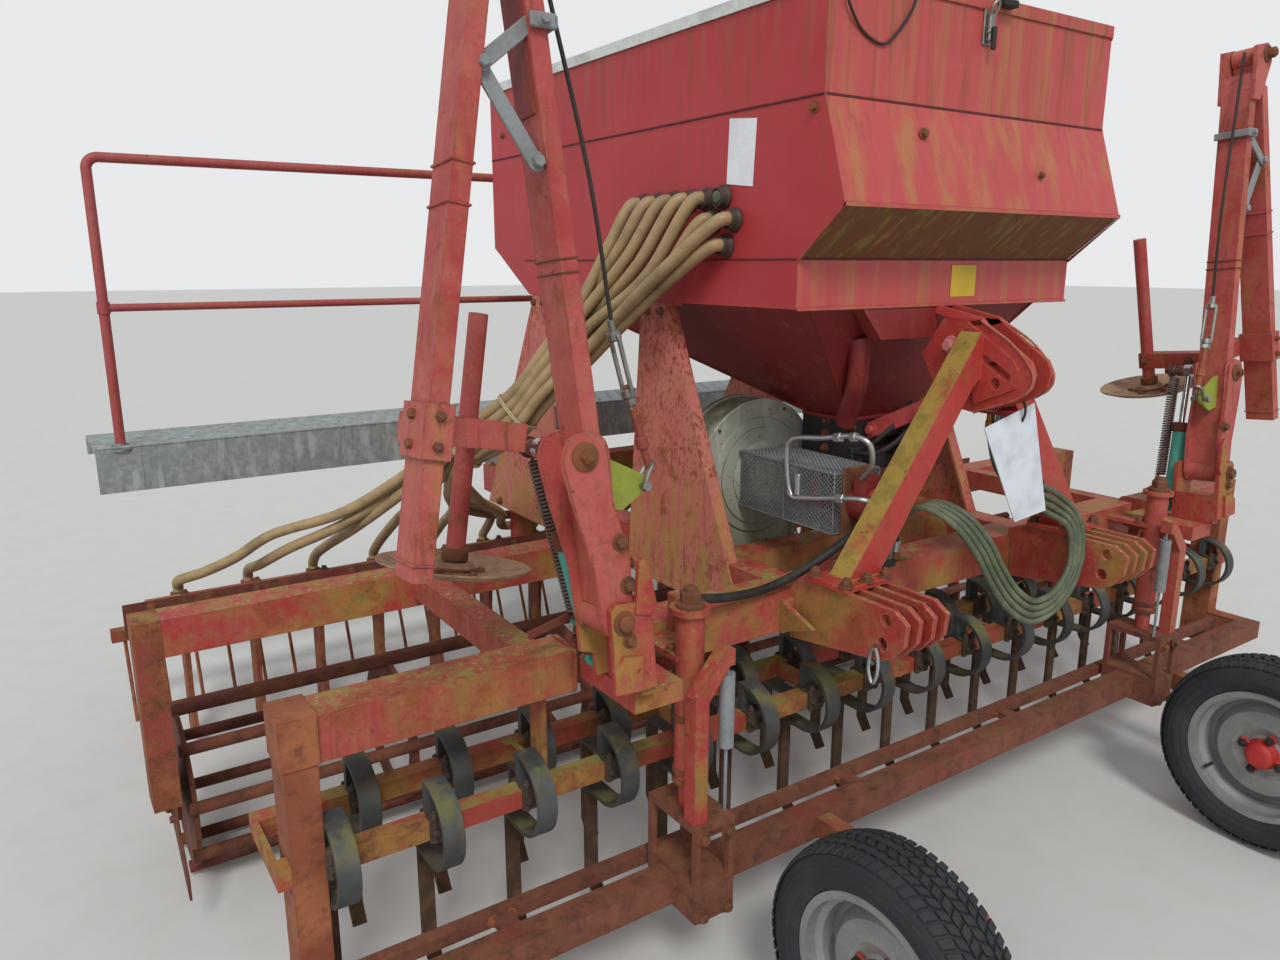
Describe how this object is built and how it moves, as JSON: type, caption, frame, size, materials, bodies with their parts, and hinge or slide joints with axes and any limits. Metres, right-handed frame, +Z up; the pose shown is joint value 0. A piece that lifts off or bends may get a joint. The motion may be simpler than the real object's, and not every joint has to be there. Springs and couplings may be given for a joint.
{
  "type": "seed drill",
  "caption": "Mounted pneumatic seed drill: looped spring tines, cage roller, hopper with blower, seed hoses, coulters, harrow, rear walkway and folding marker arms.",
  "frame": {"origin": "on the ground under the middle of the machine's bounding box", "axes": "+X across the machine to the side that is far in the picture, +Y towards the rear, +Z up"},
  "size_m": [3.6, 2.972, 2.1826],
  "materials": {
    "cover": "satin",
    "dark": "dull",
    "dark_red": "satin",
    "disc": "rusty",
    "fan": "dusty",
    "galvanised": "spangled zinc",
    "hopper_red": "semi gloss",
    "hose": "ribbed",
    "lid": "weathered",
    "mesh": "dull",
    "red_paint": "faded, rust stained",
    "rim": "silver",
    "rod_steel": "polished",
    "rust_paint": "rusty",
    "spring_steel": "dull",
    "tine_steel": "worn",
    "turquoise": "satin",
    "tyre": "worn"
  },
  "bodies": {
    "root": {"main_frame": "red_paint", "wing_frames": "rust_paint", "hitch_brackets": "rust_paint", "headstock": "rust_paint", "levelling_beam": "rust_paint", "adjusters": "red_paint", "spring_covers": "cover", "wheel_arms": "rust_paint", "tine_bars": "rust_paint", "tines_front": "tine_steel", "tines_rear": "tine_steel", "roller_hangers": "rust_paint", "shields": "rust_paint", "hopper_legs": "red_paint", "hopper_body": "hopper_red", "hopper_funnel": "dark_red", "metering_unit": "dark", "fan_housing": "fan", "fan_guard": "mesh", "fan_motor": "dark_red", "walkway": "galvanised", "handrail": "dark_red", "coulter_frame": "dark_red", "coulters": "rust_paint", "harrow": "rust_paint", "marker_brackets": "red_paint", "hoses_near": "hose", "hoses_far": "hose"},
    "wheel_near": {"tyre_near": "tyre", "rim_near": "rim"},
    "wheel_far": {"tyre_far": "tyre", "rim_far": "rim"},
    "roller_near": {"roller_near": "rust_paint"},
    "roller_far": {"roller_far": "rust_paint"},
    "hopper_lid": {"hopper_lid": "lid"},
    "marker_inner_near": {"marker_inner_near": "red_paint"},
    "marker_outer_near": {"marker_outer_near": "rust_paint"},
    "marker_disc_near": {"marker_disc_near": "disc"},
    "marker_ram_near": {"marker_ram_near": "turquoise", "marker_spring_near": "spring_steel"},
    "marker_rod_near": {"marker_rod_near": "rod_steel"},
    "marker_inner_far": {"marker_inner_far": "red_paint"},
    "marker_outer_far": {"marker_outer_far": "rust_paint"},
    "marker_disc_far": {"marker_disc_far": "disc"},
    "marker_ram_far": {"marker_ram_far": "turquoise", "marker_spring_far": "spring_steel"},
    "marker_rod_far": {"marker_rod_far": "rod_steel"}
  },
  "joints": [
    {"name": "wheel_near_spin", "type": "hinge", "parent": "root", "child": "wheel_near", "pos_m": [-0.742, -1.222, 0.264], "axis": [1, 0, 0], "continuous": true},
    {"name": "wheel_far_spin", "type": "hinge", "parent": "root", "child": "wheel_far", "pos_m": [0.742, -1.222, 0.264], "axis": [1, 0, 0], "continuous": true},
    {"name": "roller_near_spin", "type": "hinge", "parent": "root", "child": "roller_near", "pos_m": [-0.9, 0.3, 0.225], "axis": [1, 0, 0], "continuous": true},
    {"name": "roller_far_spin", "type": "hinge", "parent": "root", "child": "roller_far", "pos_m": [0.9, 0.3, 0.225], "axis": [1, 0, 0], "continuous": true},
    {"name": "lid_hinge", "type": "hinge", "parent": "root", "child": "hopper_lid", "pos_m": [0, 0.888, 2.126], "axis": [-1, 0, 0], "range_deg": [0, 75]},
    {"name": "marker_inner_near", "type": "hinge", "parent": "root", "child": "marker_inner_near", "pos_m": [-1.098, -0.808, 0.919], "axis": [0, -0.9962, 0.0872], "range_deg": [0, 95]},
    {"name": "marker_outer_near", "type": "hinge", "parent": "marker_inner_near", "child": "marker_outer_near", "pos_m": [-1.244, -0.70062, 2.14631], "axis": [0, 0.9962, -0.0872], "range_deg": [0, 158.5]},
    {"name": "marker_disc_near", "type": "hinge", "parent": "marker_outer_near", "child": "marker_disc_near", "pos_m": [-1.28035, -0.54182, 0.9553], "axis": [0.1857, 0.0856, 0.9789], "continuous": true},
    {"name": "marker_ram_near", "type": "hinge", "parent": "root", "child": "marker_ram_near", "pos_m": [-1.068, -0.72711, 0.79949], "axis": [0, -0.9962, 0.0872], "range_deg": [0, 73.9]},
    {"name": "marker_rod_near", "type": "slide", "parent": "marker_ram_near", "child": "marker_rod_near", "axis": [0.2055, -0.0853, -0.9749], "range_m": [0, 0.0967], "deforming": ["marker_spring_near"]},
    {"name": "marker_inner_far", "type": "hinge", "parent": "root", "child": "marker_inner_far", "pos_m": [1.098, -0.808, 0.919], "axis": [0, 0.9962, -0.0872], "range_deg": [0, 95]},
    {"name": "marker_outer_far", "type": "hinge", "parent": "marker_inner_far", "child": "marker_outer_far", "pos_m": [1.244, -0.70062, 2.14631], "axis": [0, -0.9962, 0.0872], "range_deg": [0, 158.5]},
    {"name": "marker_disc_far", "type": "hinge", "parent": "marker_outer_far", "child": "marker_disc_far", "pos_m": [1.24805, -0.52692, 1.12562], "axis": [-0.1857, 0.0856, 0.9789], "continuous": true},
    {"name": "marker_ram_far", "type": "hinge", "parent": "root", "child": "marker_ram_far", "pos_m": [1.068, -0.72711, 0.79949], "axis": [0, 0.9962, -0.0872], "range_deg": [0, 73.9]},
    {"name": "marker_rod_far", "type": "slide", "parent": "marker_ram_far", "child": "marker_rod_far", "axis": [-0.2055, -0.0853, -0.9749], "range_m": [0, 0.0967], "deforming": ["marker_spring_far"]}
  ],
  "couplings": [
    {"joint": "marker_outer_near", "follows": "marker_inner_near", "ratio": 1.6684},
    {"joint": "marker_ram_near", "follows": "marker_inner_near", "ratio": 0.77255},
    {"joint": "marker_rod_near", "follows": "marker_inner_near", "m_per_rad": 0.05804},
    {"joint": "marker_outer_far", "follows": "marker_inner_far", "ratio": 1.6684},
    {"joint": "marker_ram_far", "follows": "marker_inner_far", "ratio": 0.77255},
    {"joint": "marker_rod_far", "follows": "marker_inner_far", "m_per_rad": 0.05804}
  ]
}
